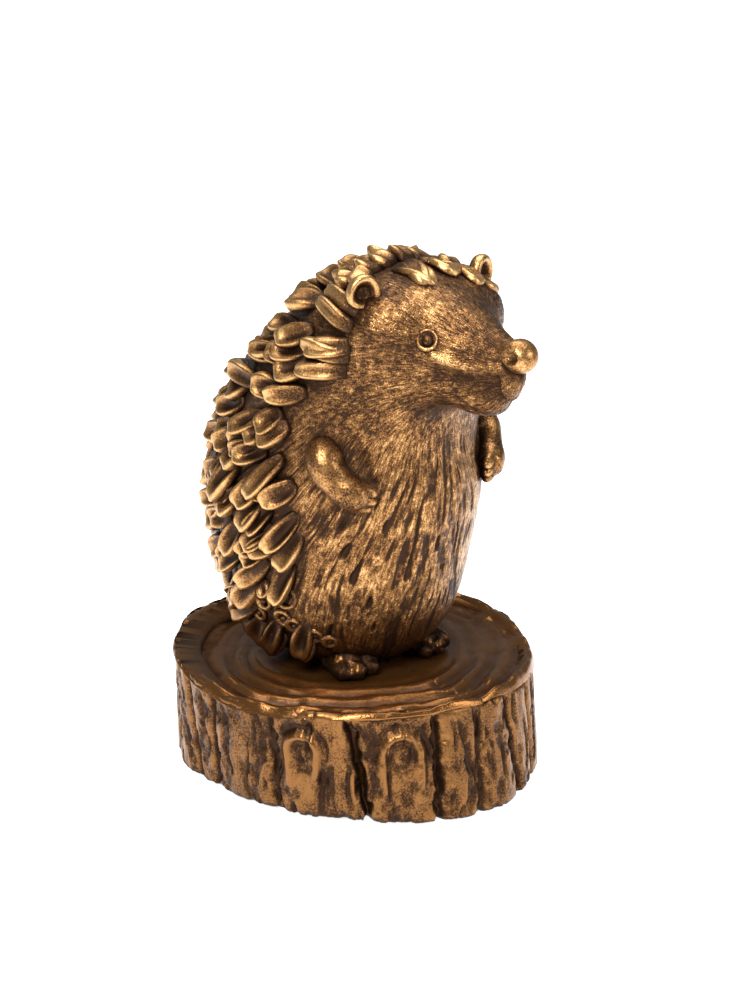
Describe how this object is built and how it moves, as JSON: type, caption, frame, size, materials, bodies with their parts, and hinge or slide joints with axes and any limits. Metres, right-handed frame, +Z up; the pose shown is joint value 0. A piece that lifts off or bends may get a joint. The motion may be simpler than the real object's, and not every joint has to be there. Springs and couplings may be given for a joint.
{
  "type": "animal figurine",
  "caption": "Antique gold resin hedgehog standing upright on a slice of tree stump, with overlapping quills, a long snout and a felt underside.",
  "frame": {"origin": "centre of the felt's underside, on which the figurine stands", "axes": "+Z up, the hedgehog faces -Y, its right side is on -X"},
  "size_m": [0.0896, 0.1047, 0.13],
  "materials": {
    "gilt_fur": "cast polyresin, antique gold dry-brushed over dark brown, satin",
    "gilt_quills": "cast polyresin, antique gold dry-brushed over dark brown, satin, dark in the gaps",
    "gilt_details": "cast polyresin, antique gold rubbed bright on the high spots, satin",
    "gilt_rings": "cast polyresin, brown-gold glaze over annual rings, semi-gloss",
    "gilt_bark": "cast polyresin, antique gold dry-brushed on bark relief, satin",
    "green_felt": "pressed felt, matt",
    "steel_dowel": "plain drawn steel"
  },
  "bodies": {
    "root": {"bark_knots": "gilt_bark", "bark_plates": "gilt_bark", "base_felt": "green_felt", "body_dowels": "steel_dowel", "crown_quills": "gilt_quills", "forehead_tufts": "gilt_details", "head": "gilt_fur", "left_arm": "gilt_details", "left_claws": "gilt_details", "left_ear": "gilt_details", "left_eye": "gilt_details", "left_eye_ring": "gilt_details", "left_fingers": "gilt_details", "left_flank_quills": "gilt_quills", "left_foot": "gilt_details", "left_haunch_curl": "gilt_details", "left_haunch_quills": "gilt_quills", "left_shoulder_quills": "gilt_quills", "left_side_quills": "gilt_quills", "left_temple_quills": "gilt_quills", "lower_back_quills": "gilt_quills", "middle_back_quills": "gilt_quills", "nape_quills": "gilt_quills", "neck_dowel": "steel_dowel", "nose_tip": "gilt_details", "right_arm": "gilt_details", "right_claws": "gilt_details", "right_ear": "gilt_details", "right_eye": "gilt_details", "right_eye_ring": "gilt_details", "right_fingers": "gilt_details", "right_flank_quills": "gilt_quills", "right_foot": "gilt_details", "right_haunch_curl": "gilt_details", "right_haunch_quills": "gilt_quills", "right_shoulder_quills": "gilt_quills", "right_side_quills": "gilt_quills", "right_temple_quills": "gilt_quills", "rump_quills": "gilt_quills", "stump_core": "gilt_rings", "torso": "gilt_fur", "upper_back_quills": "gilt_quills"}
  },
  "joints": []
}
